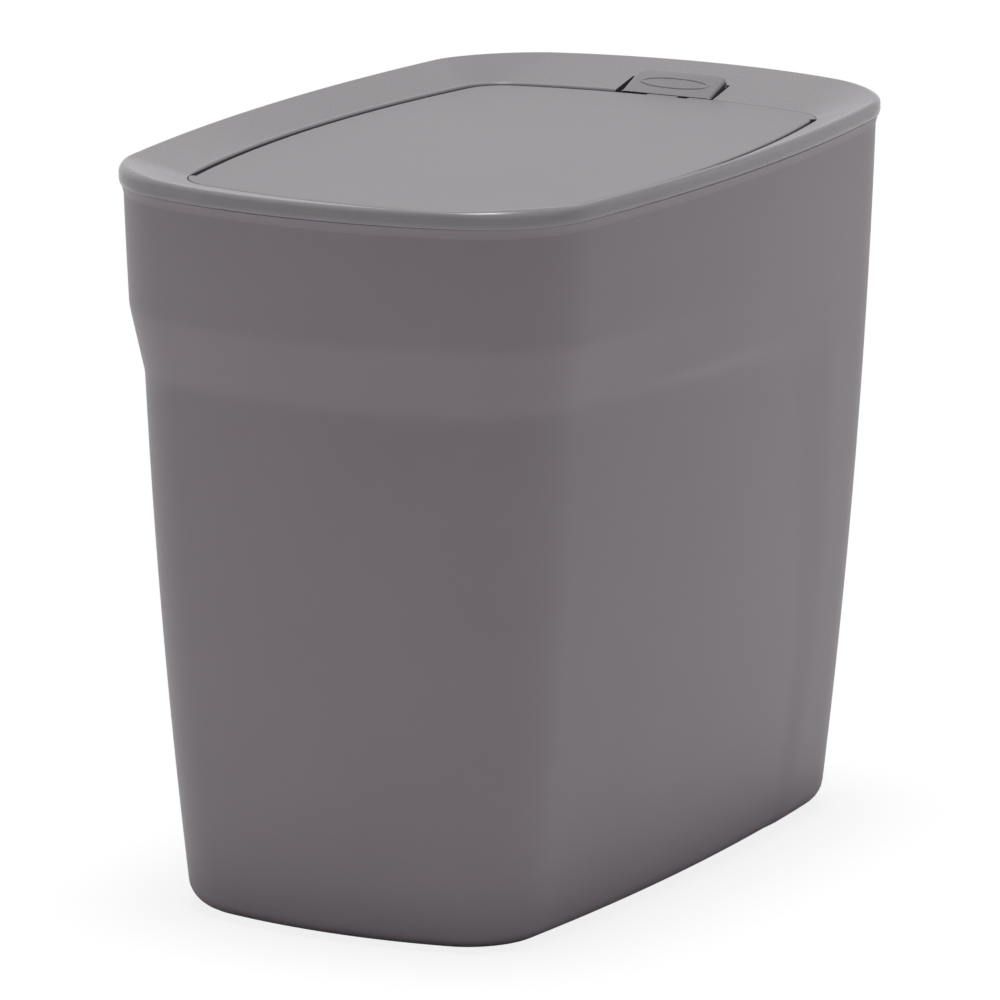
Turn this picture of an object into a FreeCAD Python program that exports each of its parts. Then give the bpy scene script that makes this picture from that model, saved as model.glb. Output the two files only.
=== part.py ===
import FreeCAD, Part
import math
import os
from FreeCAD import Vector

# Slim kitchen bin with a push-button flap, in millimetres. Z is up and the bin stands on the
# XY plane, under the middle of its lid. The button end faces -Y and the hinge end faces +Y.

os.makedirs("parts", exist_ok=True)

# Lid frame, outlined at its widest line
lid_width = 206.6
lid_depth = 322.0
lid_end_bow = 20.8
lid_side_bow = 11.9
lid_corner_radius = 46.4
overall_height = 278.0
lid_edge_height = 6.7
lid_wall = 2.2
crest_rise = 1.8
crest_inset = 1.8
crest_angles = (0, 50, 90)
dish_depth = 7.0
roof_thickness = 2.6

# Ring round the flap opening, with its well wall and stop ledge
ring_side_width = 18.0
ring_end_width = 35.5
opening_end_bow = 10.5
opening_side_bow = 12.0
opening_corner_radius = 20.0
well_wall = 2.0
ledge_width = 3.5
ledge_thickness = 2.2
ledge_hinge_gap = 4.0

# Tub wall
tub_wall = 2.2
tub_floor = 2.6
rim_height = 3.1
rim_overhang = 0.6
lid_overhang = 0.75
base_side_taper = 24.7
base_end_taper = 17.8
base_setback = 2.6
base_end_bow = 12.1
base_side_bow = 7.2
base_corner_radius = 34.0
base_round = 9.3
wall_belly_share = 0.59

# Stepped-in panel that runs round the hinge end and both sides of the tub
shoulder_height = 226.0
shoulder_drop = 25.0
panel_depth = 4.2
panel_base_depth = 1.3
panel_front_depth_share = 0.5
panel_step_run = 30.0
panel_edge_setback = 81.0
panel_corner_length = 90.0
panel_corner_height = 35.0
panel_edge_bow = 10.0
panel_inner_corner_lead = 30.0
panel_inner_corner_height = 22.0
panel_plain_height = 160.0

# Angles, in degrees, and count of bands at which the tub has its sections
outside_round_angles = (0, 45, 90)
inside_round_angles = (0, 90)
inner_corner_angles = (0, 50, 90)
outer_corner_angles = (42, 68, 90)
plain_band_count = 3

# Locating flange of the lid inside the tub
flange_depth = 12.0
flange_wall = 2.0
flange_clearance = 0.5
seat_clearance = 0.2

# Flap
flap_gap = 2.2
flap_drop = 0.6
flap_thickness = 2.2
flap_edge_round = 0.8
flap_edge_angles = (0, 45, 90)
flap_lip_depth = 7.6
flap_lip_wall = 1.8
flap_stop_clearance = 0.3

# Flap hinge
hinge_drop = 5.2
hinge_corner_setback = 3.5
hinge_boss_radius = 3.2
hinge_boss_length = 8.0
hinge_pin_radius = 1.25
hinge_pin_seat = 6.0
hinge_pin_tail = 1.0
hinge_lug_radius = 2.8
hinge_lug_width = 3.0
hinge_notch_lead = 11.0
hinge_notch_tail = 5.5
hinge_side_gap = 0.4
spring_wall_gap = 0.9
press_clearance = 0.02
running_clearance = 0.06

# Torsion springs on the hinge pins
torsion_wire = 0.7
torsion_radius = 2.25
torsion_pitch = 1.16
torsion_turns = 6
torsion_frame_leg = 9.0
torsion_flap_leg = 16.0
torsion_sleeve_margin = 0.1

# Push button in the front of the dished ring
button_width = 38.3
button_depth = 21.6
button_slot = 1.95
button_proud = 0.4
button_thickness = 2.2
button_chamfer = 0.6
button_lip_depth = 5.0
button_lip_wall = 1.8
button_barrel_radius = 2.3
button_pin_radius = 1.0
button_pin_drop = 3.2
button_pin_edge = 2.6
button_boss_radius = 2.5
button_boss_length = 5.0
button_end_gap = 0.5
button_ear_depth = 8.0
button_ear_gap = 0.3
oval_length = 27.0
oval_width = 13.0
oval_line = 1.0
oval_rise = 0.5
button_peg_width = 8.0
button_peg_thickness = 2.0
button_peg_setback = 8.0
button_peg_clearance = 0.3

# Sliding latch under the button
bolt_drop = 9.8
bolt_height = 5.0
bolt_width = 13.6
bolt_length = 18.5
bolt_nose_width = 10.0
bolt_nose_height = 3.2
bolt_nose_length = 3.0
bolt_nose_clearance = 0.8
bolt_nose_slope = 1.2
bolt_running_clearance = 0.2
ramp_width = 9.0
ramp_height = 6.0
ramp_run = 4.0
ramp_top_length = 2.5
spring_pocket_depth = 3.0
spring_pocket_clearance = 0.4

# Latch spring behind the bolt
latch_spring_wire = 0.6
latch_spring_radius = 1.7
latch_spring_length = 9.0
latch_spring_seat = 0.1

# Latch housing and its screws
housing_wall = 2.0
housing_floor = 1.8
housing_front_gap = 1.2
housing_ear_length = 30.0
housing_ear_thickness = 2.2
housing_ear_width = 10.0
screw_spacing = 50.0
screw_boss_radius = 3.4
screw_radius = 1.1
screw_clearance = 0.15
screw_length = 8.0
screw_head_radius = 2.6
screw_head_height = 1.6
screw_bore_depth = 7.0

# Keeper on the flap, in front of the bolt
keeper_width = 22.0
keeper_wall = 2.4
keeper_depth = 16.6
keeper_window_clearance = 0.5

# Length by which a cutting or joining shape runs past the faces that it meets
overrun = 1.0

# Heights and places that follow from the sizes above
opening_width = lid_width - 2 * ring_side_width
opening_depth = lid_depth - 2 * ring_end_width
base_width = lid_width - 2 * base_side_taper
base_depth = lid_depth - 2 * base_end_taper
panel_corner_y = panel_edge_setback + panel_corner_length - lid_depth / 2
panel_inner_y = panel_corner_y + panel_inner_corner_lead
crest_z = overall_height
lid_bottom_z = crest_z - lid_edge_height
lid_shoulder_z = crest_z - crest_rise
opening_z = crest_z - dish_depth
well_top_z = opening_z - lid_wall
rim_top_z = lid_bottom_z - seat_clearance
rim_bottom_z = rim_top_z - rim_height
panel_top_z = shoulder_height - shoulder_drop
panel_inner_corner_z = panel_top_z - panel_inner_corner_height
panel_corner_z = shoulder_height - panel_corner_height
flap_top_z = opening_z - flap_drop
flap_under_z = flap_top_z - flap_thickness
lip_bottom_z = flap_top_z - flap_lip_depth
ledge_top_z = lip_bottom_z - flap_stop_clearance
ledge_bottom_z = ledge_top_z - ledge_thickness
hinge_z = flap_top_z - hinge_drop
opening_front_y = -opening_depth / 2
flap_front_y = opening_front_y + flap_gap
ring_front_run = lid_depth / 2 - crest_inset - opening_depth / 2
ring_slope = dish_depth / ring_front_run
bolt_top_z = flap_top_z - bolt_drop
bolt_bottom_z = bolt_top_z - bolt_height
bolt_middle_z = bolt_top_z - bolt_height / 2
bolt_tip_y = flap_front_y - bolt_nose_clearance
bolt_front_y = bolt_tip_y - bolt_nose_length
bolt_rear_y = bolt_front_y - bolt_length
latch_spring_front_y = bolt_rear_y + spring_pocket_depth - latch_spring_seat
latch_spring_rear_y = latch_spring_front_y - latch_spring_length
housing_front_y = opening_front_y - well_wall - housing_front_gap
housing_rear_y = latch_spring_rear_y - latch_spring_seat
channel_half_width = bolt_width / 2 + bolt_running_clearance
ear_top_z = bolt_top_z
ear_y = (housing_front_y + housing_rear_y) / 2

X_AXIS = Vector(1, 0, 0)
Y_AXIS = Vector(0, 1, 0)
Z_AXIS = Vector(0, 0, 1)


def unit(vector):
    """The vector's direction, with a length of one."""
    return vector * (1 / vector.Length)


def arc(start, middle, end):
    return Part.Arc(start, middle, end).toShape()


def line(start, end):
    return Part.LineSegment(start, end).toShape()


def arc_chain(points):
    """Closed wire of arcs through every other point, each bent through the point between."""
    return Part.Wire([arc(*points[i:i + 3]) for i in range(0, len(points) - 2, 2)])


def block(x_range, y_range, z_range):
    """Box between three pairs of limits."""
    corner = Vector(min(x_range), min(y_range), min(z_range))
    sizes = [max(limits) - min(limits) for limits in (x_range, y_range, z_range)]
    return Part.makeBox(*sizes, corner)


def profile_along_x(points, half_width):
    """Prism across the bin, from a closed outline of (y, z) points."""
    corners = [Vector(-half_width, y, z) for y, z in points]
    face = Part.Face(Part.makePolygon(corners + corners[:1]))
    return face.extrude(X_AXIS * (2 * half_width))


def rod(radius, start_x, end_x, y, z):
    """Cylinder along X."""
    return Part.makeCylinder(radius, abs(end_x - start_x), Vector(min(start_x, end_x), y, z), X_AXIS)


class BowedRectangle:
    """Rounded rectangle with four shallow arcs for sides and true arcs at its corners."""

    def __init__(self, width, depth, end_bow, side_bow, corner_radius, centre_y=0):
        corner_x = width / 2 - side_bow
        corner_y = depth / 2 - end_bow
        self.half_width = width / 2
        self.half_depth = depth / 2
        self.centre_y = centre_y
        self.corner_radius = corner_radius
        self.end_radius = (corner_x ** 2 + end_bow ** 2) / (2 * end_bow)
        self.side_radius = (corner_y ** 2 + side_bow ** 2) / (2 * side_bow)
        self.end_centre = Vector(0, self.half_depth - self.end_radius, 0)
        self.side_centre = Vector(self.half_width - self.side_radius, 0, 0)
        self.corner_centre = self.find_corner_centre()
        self.end_direction = unit(self.corner_centre - self.end_centre)
        self.side_direction = unit(self.corner_centre - self.side_centre)

    def find_corner_centre(self):
        """Centre of the arc that touches the end arc and the side arc from inside."""
        to_end = self.end_radius - self.corner_radius
        to_side = self.side_radius - self.corner_radius
        between = self.side_centre - self.end_centre
        span = between.Length
        along = (to_end ** 2 - to_side ** 2 + span ** 2) / (2 * span)
        across = math.sqrt(to_end ** 2 - along ** 2)
        foot = self.end_centre + unit(between) * along
        normal = unit(Vector(-between.y, between.x, 0)) * across
        return max((foot + normal, foot - normal), key=lambda point: point.x + point.y)

    def corner_point(self, direction, offset):
        return self.corner_centre + unit(direction) * (self.corner_radius + offset)

    def end_joint(self, offset):
        return self.corner_point(self.end_direction, offset)

    def side_joint(self, offset):
        return self.corner_point(self.side_direction, offset)

    def corner_middle(self, offset):
        return self.corner_point(self.end_direction + self.side_direction, offset)

    def side_apex(self, offset):
        return Vector(self.half_width + offset, 0, 0)

    def end_apex(self, offset):
        return Vector(0, self.half_depth + offset, 0)

    def side_at(self, y, offset):
        """Point of the side arc at a place along the bin."""
        local_y = y - self.centre_y
        reach = math.sqrt((self.side_radius + offset) ** 2 - local_y ** 2)
        return Vector(self.side_centre.x + reach, local_y, 0)

    def placed(self, point, side, end, z):
        """Point of the first quarter, mirrored into the quarter that two signs choose."""
        return Vector(side * point.x, end * point.y + self.centre_y, z)

    def wire(self, offset, z):
        """The whole outline, grown outwards by an offset, at one height."""
        side = self.side_joint(offset)
        end = self.end_joint(offset)
        corner = self.corner_middle(offset)
        side_apex = self.side_apex(offset)
        end_apex = self.end_apex(offset)
        route = [(side, 1, -1), (side_apex, 1, 1), (side, 1, 1), (corner, 1, 1), (end, 1, 1)]
        route += [(end_apex, 1, 1), (end, -1, 1), (corner, -1, 1), (side, -1, 1)]
        route += [(side_apex, -1, 1), (side, -1, -1), (corner, -1, -1), (end, -1, -1)]
        route += [(end_apex, 1, -1), (end, 1, -1), (corner, 1, -1), (side, 1, -1)]
        return arc_chain([self.placed(point, x_sign, y_sign, z) for point, x_sign, y_sign in route])

    def prism(self, offset, bottom_z, top_z):
        return Part.Face(self.wire(offset, bottom_z)).extrude(Z_AXIS * (top_z - bottom_z))

    def band(self, outer_offset, inner_offset, bottom_z, top_z):
        """Upright wall between two offsets of the outline."""
        hole = self.prism(inner_offset, bottom_z - overrun, top_z + overrun)
        return self.prism(outer_offset, bottom_z, top_z).cut(hole)


lid_outline = BowedRectangle(lid_width, lid_depth, lid_end_bow, lid_side_bow, lid_corner_radius)
opening_outline = BowedRectangle(opening_width, opening_depth, opening_end_bow, opening_side_bow,
                                 opening_corner_radius)
middle_outline = BowedRectangle((lid_width + opening_width) / 2, (lid_depth + opening_depth) / 2,
                                (lid_end_bow + opening_end_bow) / 2, (lid_side_bow + opening_side_bow) / 2,
                                (lid_corner_radius + opening_corner_radius) / 2)
hinge_y = opening_outline.side_joint(0).y - hinge_corner_setback
hinge_wall_x = opening_outline.side_at(hinge_y, 0).x
spring_outer_x = hinge_wall_x - spring_wall_gap - torsion_wire / 2
spring_inner_x = spring_outer_x - torsion_pitch * (torsion_turns + 1 / 2)
lug_outer_x = spring_inner_x - torsion_wire / 2 - hinge_side_gap
lug_inner_x = lug_outer_x - hinge_lug_width


def ring_z(y):
    """Height of the dished ring's top on the centre line of the button end."""
    return opening_z + (opening_front_y - y) * ring_slope


button_front_y = opening_front_y
button_rear_y = button_front_y - button_depth
button_pin_y = button_rear_y + button_pin_edge
button_pin_z = ring_z(button_pin_y) + button_proud - button_pin_drop
peg_y = button_front_y - button_peg_setback
button_ear_reach = button_width / 2 + button_slot - button_ear_gap


# Tub

def tub_outline(z):
    """Outline of the plain tapered wall at one height; the taper grows towards the base."""
    fall_share = (rim_bottom_z - z) / rim_bottom_z
    share = (1 - wall_belly_share) * fall_share + wall_belly_share * fall_share ** 2
    edge_inset = 2 * (lid_overhang + rim_overhang)
    tops = (lid_width - edge_inset, lid_depth - edge_inset, lid_end_bow, lid_side_bow, lid_corner_radius, 0)
    bases = (base_width, base_depth, base_end_bow, base_side_bow, base_corner_radius, -base_setback)
    return BowedRectangle(*[top + (base - top) * share for top, base in zip(tops, bases)])


def panel_depth_at(z):
    """How far the panel is stepped in at one height."""
    if z > panel_top_z:
        return panel_depth * max(shoulder_height - z, 0) / shoulder_drop
    return panel_base_depth + (panel_depth - panel_base_depth) * z / panel_top_z


def panel_outer_y(z):
    """Where the panel's step leaves the plain wall: an upright edge with an elliptic corner."""
    if z > panel_corner_z:
        rise_share = min((z - panel_corner_z) / panel_corner_height, 1)
        return panel_corner_y - panel_corner_length * math.sqrt(1 - rise_share ** 2)
    share = z / panel_corner_z
    return panel_corner_y - panel_corner_length - panel_edge_bow * 4 * share * (1 - share)


def panel_inner_edge_y(z):
    """Where the panel's step reaches its full depth: an upright edge with an elliptic corner."""
    lower_z = min(z, panel_inner_corner_z)
    lower_y = panel_outer_y(lower_z) + panel_step_run * panel_depth_at(lower_z) / panel_depth
    rise_share = min(max(z - panel_inner_corner_z, 0) / panel_inner_corner_height, 1)
    return panel_inner_y - (panel_inner_y - lower_y) * math.sqrt(1 - rise_share ** 2)


def tub_section(z, inset):
    """Tub wall at one height: stepped in round the hinge end, less along the sides, and plain at the
    button end."""
    outline = tub_outline(z)
    rear = -inset - panel_depth_at(z)
    front = -inset
    flank = -inset - panel_depth_at(z) * panel_front_depth_share
    step_in = outline.side_at(panel_inner_edge_y(z), flank)
    step_out = outline.side_at(panel_outer_y(z), front)
    rear_middle_y = (step_in.y + outline.side_joint(rear).y) / 2 + outline.centre_y
    front_middle_y = (step_out.y - outline.side_joint(front).y) / 2 + outline.centre_y
    rear_middle = outline.side_at(rear_middle_y, (rear + flank) / 2)
    front_middle = outline.side_at(front_middle_y, front)

    def at(point, side, end=1):
        return outline.placed(point, side, end, z)

    def side_points(side):
        rear_points = [at(outline.end_joint(rear), side), at(outline.corner_middle(rear), side)]
        rear_points += [at(outline.side_joint(rear), side), at(rear_middle, side), at(step_in, side)]
        front_points = [at(step_out, side), at(front_middle, side), at(outline.side_joint(front), side, -1)]
        front_points += [at(outline.corner_middle(front), side, -1), at(outline.end_joint(front), side, -1)]
        return rear_points, front_points

    left_rear, left_front = side_points(-1)
    right_rear, right_front = [points[::-1] for points in side_points(1)]
    edges = [arc(right_rear[-1], at(outline.end_apex(rear), 1), left_rear[0])]
    edges += [arc(*left_rear[0:3]), arc(*left_rear[2:5]), line(left_rear[-1], left_front[0])]
    edges += [arc(*left_front[0:3]), arc(*left_front[2:5])]
    edges += [arc(left_front[-1], at(outline.end_apex(front), 1, -1), right_front[0])]
    edges += [arc(*right_front[0:3]), arc(*right_front[2:5]), line(right_front[-1], right_rear[0])]
    edges += [arc(*right_rear[0:3]), arc(*right_rear[2:5])]
    return Part.Wire(edges)


def tub_loft(heights, inset):
    return Part.makeLoft([tub_section(z, inset) for z in heights], True, True)


def arc_heights(foot_z, height, angles):
    """Heights on an upright arc or ellipse at some angles above its foot."""
    return [foot_z + height * math.sin(math.radians(angle)) for angle in angles]


def tub_form(inset, floor_z, floor_round, top_z, round_angles):
    """Solid inside the tub's wall line, from a rounded floor edge up to a level top."""
    sections = []
    for angle in round_angles:
        turn = math.radians(angle)
        round_z = floor_z + floor_round * (1 - math.cos(turn))
        round_inset = inset + floor_round * (1 - math.sin(turn))
        sections.append(tub_section(round_z, round_inset))
    round_top_z = floor_z + floor_round
    band_height = (panel_plain_height - round_top_z) / plain_band_count
    heights = [round_top_z + band_height * (count + 1) for count in range(plain_band_count)]
    heights += arc_heights(panel_inner_corner_z, panel_inner_corner_height, inner_corner_angles)
    heights += arc_heights(panel_corner_z, panel_corner_height, outer_corner_angles)
    sections += [tub_section(z, inset) for z in heights + [top_z]]
    return Part.makeLoft(sections, True, True)


def make_tub():
    shell = tub_form(0, 0, base_round, rim_bottom_z, outside_round_angles)
    rim = tub_loft([rim_bottom_z, rim_top_z], -rim_overhang)
    inside = tub_form(tub_wall, tub_floor, base_round - tub_wall, rim_top_z + overrun, inside_round_angles)
    return shell.fuse(rim).cut(inside)


# Lid frame

def make_lid_frame():
    edge = lid_outline.prism(0, well_top_z, lid_shoulder_z)
    crest_sections = []
    for angle in crest_angles:
        turn = math.radians(angle)
        section_z = lid_shoulder_z + crest_rise * math.sin(turn)
        crest_sections.append(lid_outline.wire(-crest_inset * (1 - math.cos(turn)), section_z))
    crest = Part.makeLoft(crest_sections, True, True)
    dish = ring_loft(opening_outline.wire(0, opening_z), 0, crest_sections[-1], -crest_inset)
    ring = edge.fuse(crest).cut(dish)
    ring = ring.cut([ring_underside(), rim_space()])
    ring = ring.fuse([lid_well(), lid_flange()])
    ring = ring.cut(opening_outline.prism(0, ledge_top_z, crest_z))
    ring = ring.fuse(lid_bosses())
    return ring.cut(lid_cuts())


def ring_loft(foot, foot_offset, top, top_offset):
    """Sloping form from the opening's outline up to the lid's, through the outline midway."""
    middle_z = (foot.BoundBox.ZMax + top.BoundBox.ZMax) / 2
    middle = middle_outline.wire((foot_offset + top_offset) / 2, middle_z)
    return Part.makeLoft([foot, middle, top], True, True)


def ring_underside():
    """Hollow under the dished ring, between the lid's edge and the well."""
    top_z = crest_z - roof_thickness
    hollow = lid_outline.prism(-lid_wall, well_top_z - overrun, top_z)
    roof_foot = opening_outline.wire(well_wall, well_top_z)
    roof = ring_loft(roof_foot, well_wall, lid_outline.wire(-lid_wall, top_z), -lid_wall)
    core = opening_outline.prism(well_wall, well_top_z - overrun, well_top_z)
    return hollow.cut([roof, core])


def rim_space():
    """Space below the lid's edge, where the tub's rim lies."""
    return lid_outline.band(overrun, -lid_wall - overrun, well_top_z - overrun, lid_bottom_z)


def lid_well():
    """Wall round the opening, with the ledge that stops the flap ahead of its hinge."""
    wall = opening_outline.band(well_wall, 0, ledge_bottom_z, opening_z - lid_wall / 2)
    ledge = opening_outline.band(well_wall / 2, -ledge_width, ledge_bottom_z, ledge_top_z)
    behind_y = (hinge_y - ledge_hinge_gap, lid_depth)
    behind = block((-lid_width, lid_width), behind_y, (ledge_bottom_z - overrun, ledge_top_z + overrun))
    return wall.fuse(ledge.cut(behind))


def lid_flange():
    """Flange that centres the lid inside the tub's wall."""
    heights = [lid_bottom_z - flange_depth, crest_z - roof_thickness]
    hole_heights = [heights[0] - overrun, heights[1] + overrun]
    inset = tub_wall + flange_clearance
    return tub_loft(heights, inset).cut(tub_loft(hole_heights, inset + flange_wall))


def lid_bosses():
    """Bosses for the hinge pins, the button's pin and the housing's screws."""
    bosses = []
    for side in (-1, 1):
        start_x = hinge_wall_x + well_wall / 2
        bosses.append(rod(hinge_boss_radius, side * start_x, side * (start_x + hinge_boss_length), hinge_y,
                          hinge_z))
        start_x = button_width / 2 + button_slot
        bosses.append(rod(button_boss_radius, side * start_x, side * (start_x + button_boss_length),
                          button_pin_y, button_pin_z))
        top_z = ring_z(ear_y) - lid_wall / 2
        foot = Vector(side * screw_spacing / 2, ear_y, ear_top_z)
        bosses.append(Part.makeCylinder(screw_boss_radius, top_z - ear_top_z, foot))
    return bosses


def lid_cuts():
    """Bores for the pins and screws, and the cut-out round the button."""
    cut_half_width = button_width / 2 + button_slot
    cut_y = (button_rear_y - button_end_gap, opening_front_y + ledge_width + overrun)
    cuts = [block((-cut_half_width, cut_half_width), cut_y, (ledge_bottom_z - overrun, crest_z))]
    pin_reach = cut_half_width + button_boss_length
    cuts.append(rod(button_pin_radius + press_clearance, -pin_reach - overrun, pin_reach + overrun,
                    button_pin_y, button_pin_z))
    for side in (-1, 1):
        bore_end_x = hinge_wall_x + hinge_pin_seat
        cuts.append(rod(hinge_pin_radius + press_clearance, side * lug_outer_x, side * bore_end_x, hinge_y,
                        hinge_z))
        foot = Vector(side * screw_spacing / 2, ear_y, ear_top_z)
        cuts.append(Part.makeCylinder(screw_radius + press_clearance, screw_bore_depth, foot))
    return cuts


# Flap

def make_flap():
    edge_z = flap_top_z - flap_edge_round
    edge_sections = []
    for angle in flap_edge_angles:
        turn = math.radians(angle)
        edge_inset = flap_gap + flap_edge_round * (1 - math.cos(turn))
        edge_sections.append(opening_outline.wire(-edge_inset, edge_z + flap_edge_round * math.sin(turn)))
    plate = opening_outline.prism(-flap_gap, flap_under_z, edge_z)
    plate = plate.fuse(Part.makeLoft(edge_sections, True, True))
    joint_z = flap_under_z + flap_thickness / 2
    lip = opening_outline.band(-flap_gap, -flap_gap - flap_lip_wall, lip_bottom_z, joint_z)
    notch_y = (hinge_y - hinge_notch_lead, hinge_y + hinge_notch_tail)
    notches = [block((side * lug_outer_x, side * lid_width), notch_y, (lip_bottom_z - overrun, flap_under_z))
               for side in (-1, 1)]
    lip = lip.cut(notches)
    flap = plate.fuse([lip, flap_keeper(joint_z)] + [flap_lug(side, joint_z) for side in (-1, 1)])
    bores = [rod(hinge_pin_radius + running_clearance, side * (lug_inner_x - overrun),
                 side * (lug_outer_x + overrun), hinge_y, hinge_z) for side in (-1, 1)]
    return flap.cut(bores)


def flap_lug(side, top_z):
    """Hinge lug under the flap: a web with a round end about the pin."""
    x_range = (side * lug_inner_x, side * lug_outer_x)
    web = block(x_range, (hinge_y - hinge_lug_radius, hinge_y + hinge_lug_radius), (hinge_z, top_z))
    return web.fuse(rod(hinge_lug_radius, *x_range, hinge_y, hinge_z))


def flap_keeper(top_z):
    """Tab under the flap's front edge, with the window that the bolt enters."""
    y_range = (flap_front_y, flap_front_y + keeper_wall)
    tab = block((-keeper_width / 2, keeper_width / 2), y_range, (flap_top_z - keeper_depth, top_z))
    window_half_width = bolt_nose_width / 2 + keeper_window_clearance
    window_z = (bolt_middle_z - bolt_nose_height / 2 - keeper_window_clearance,
                bolt_middle_z + bolt_nose_height / 2 + keeper_window_clearance)
    window_y = (y_range[0] - overrun, y_range[1] + overrun)
    return tab.cut(block((-window_half_width, window_half_width), window_y, window_z))


# Push button

def make_push_button():
    top = [(y, ring_z(y) + button_proud) for y in (button_front_y, button_rear_y)]
    under = [(y, z - button_thickness) for y, z in top[::-1]]
    plate = profile_along_x(top + under, button_width / 2)
    top_edges = [edge for edge in plate.Edges if on_button_top(edge)]
    plate = plate.makeChamfer(button_chamfer, top_edges)
    barrel = rod(button_barrel_radius, -button_width / 2, button_width / 2, button_pin_y, button_pin_z)
    lip_y = (button_front_y - button_lip_wall, button_front_y)
    lip_top_z = top[0][1] - button_thickness / 2
    lip = block((-button_width / 2, button_width / 2), lip_y, (top[0][1] - button_lip_depth, lip_top_z))
    button = plate.fuse([button_ears(), barrel, lip, button_peg(), button_oval()])
    bore_reach = button_ear_reach + overrun
    bore = rod(button_pin_radius + running_clearance, -bore_reach, bore_reach, button_pin_y, button_pin_z)
    return button.cut(bore)


def on_button_top(edge):
    """Whether an edge of the button's plate lies on its sloping top."""
    return all(vertex.Z > ring_z(vertex.Y) + button_proud - button_thickness / 2 for vertex in edge.Vertexes)


def button_ears():
    """Wider far end of the button, flush with the ring, where the side slots end."""
    top = [(y, ring_z(y)) for y in (button_rear_y + button_ear_depth, button_rear_y)]
    under = [(y, z - button_thickness + button_proud) for y, z in top[::-1]]
    return profile_along_x(top + under, button_ear_reach)


def ramp_z(y):
    """Height of the bolt's ramp, which rises away from the flap."""
    foot_y = peg_y + ramp_run / 2
    return bolt_top_z + (foot_y - y) * ramp_height / ramp_run


def button_peg():
    """Rib under the button with its foot cut parallel to the bolt's ramp."""
    rear_y = peg_y - button_peg_thickness / 2
    front_y = peg_y + button_peg_thickness / 2
    rise = button_peg_clearance * math.hypot(ramp_height, ramp_run) / ramp_run
    top_z = ring_z(peg_y) + button_proud - button_thickness / 2
    points = [(rear_y, ramp_z(rear_y) + rise), (front_y, ramp_z(front_y) + rise)]
    points += [(front_y, top_z), (rear_y, top_z)]
    return profile_along_x(points, button_peg_width / 2)


def button_oval():
    """Raised oval line in the middle of the button's top."""
    middle_y = (button_front_y + button_rear_y) / 2
    middle = Vector(0, middle_y, ring_z(middle_y) + button_proud)
    ovals = []
    for inset in (0, oval_line):
        ellipse = Part.Ellipse(Vector(0, 0, -overrun), oval_length / 2 - inset, oval_width / 2 - inset)
        ovals.append(Part.Face(Part.Wire(ellipse.toShape())).extrude(Z_AXIS * (overrun + oval_rise)))
    ring = ovals[0].cut(ovals[1])
    tilt = FreeCAD.Rotation(X_AXIS, -math.degrees(math.atan(ring_slope)))
    ring.Placement = FreeCAD.Placement(middle, tilt)
    return ring


# Latch

def make_latch_slider():
    body_y = (bolt_rear_y, bolt_front_y)
    body = block((-bolt_width / 2, bolt_width / 2), body_y, (bolt_bottom_z, bolt_top_z))
    nose_bottom_z = bolt_middle_z - bolt_nose_height / 2
    nose_top_z = bolt_middle_z + bolt_nose_height / 2
    nose = [(bolt_front_y - overrun, nose_bottom_z), (bolt_tip_y, nose_bottom_z)]
    nose += [(bolt_tip_y, nose_top_z - bolt_nose_slope), (bolt_tip_y - bolt_nose_slope, nose_top_z)]
    nose += [(bolt_front_y - overrun, nose_top_z)]
    foot_y = peg_y + ramp_run / 2
    crown_y = foot_y - ramp_run
    ramp_sink_z = bolt_top_z - overrun
    ramp = [(foot_y, ramp_sink_z), (foot_y, bolt_top_z), (crown_y, bolt_top_z + ramp_height)]
    ramp += [(crown_y - ramp_top_length, bolt_top_z + ramp_height), (crown_y - ramp_top_length, ramp_sink_z)]
    slider = body.fuse([profile_along_x(nose, bolt_nose_width / 2), profile_along_x(ramp, ramp_width / 2)])
    pocket_radius = latch_spring_radius + latch_spring_wire / 2 + spring_pocket_clearance
    pocket_mouth = Vector(0, bolt_rear_y - overrun, bolt_middle_z)
    return slider.cut(Part.makeCylinder(pocket_radius, spring_pocket_depth + overrun, pocket_mouth, Y_AXIS))


def make_latch_housing():
    floor_top_z = bolt_bottom_z - bolt_running_clearance
    floor_z = floor_top_z - housing_floor
    outer_half_width = channel_half_width + housing_wall
    outer_y = (housing_rear_y - housing_wall, housing_front_y)
    shell = block((-outer_half_width, outer_half_width), outer_y, (floor_z, ear_top_z))
    ears_y = (ear_y - housing_ear_width / 2, ear_y + housing_ear_width / 2)
    ears_z = (ear_top_z - housing_ear_thickness, ear_top_z)
    ears = block((-housing_ear_length, housing_ear_length), ears_y, ears_z)
    channel_y = (housing_rear_y, housing_front_y + overrun)
    channel = block((-channel_half_width, channel_half_width), channel_y, (floor_top_z, ear_top_z + overrun))
    holes = []
    for side in (-1, 1):
        foot = Vector(side * screw_spacing / 2, ear_y, floor_z)
        hole_height = ear_top_z + overrun - floor_z
        holes.append(Part.makeCylinder(screw_radius + screw_clearance, hole_height, foot))
    return shell.fuse(ears).cut([channel] + holes)


def make_latch_screws():
    head_z = ear_top_z - housing_ear_thickness
    screws = []
    for side in (-1, 1):
        head_foot = Vector(side * screw_spacing / 2, ear_y, head_z - screw_head_height)
        head = Part.makeCylinder(screw_head_radius, screw_head_height, head_foot)
        shank = Part.makeCylinder(screw_radius, screw_head_height + screw_length, head_foot)
        screws.append(head.fuse(shank))
    return Part.Compound(screws)


# Pins

def make_hinge_pin(side):
    inner_x = lug_inner_x - hinge_pin_tail
    outer_x = hinge_wall_x + hinge_pin_seat
    return rod(hinge_pin_radius, side * inner_x, side * outer_x, hinge_y, hinge_z)


def make_button_pin():
    reach = button_width / 2 + button_slot + button_boss_length
    return rod(button_pin_radius, -reach, reach, button_pin_y, button_pin_z)


# Springs, as plain sleeves round the space of their turns

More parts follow.
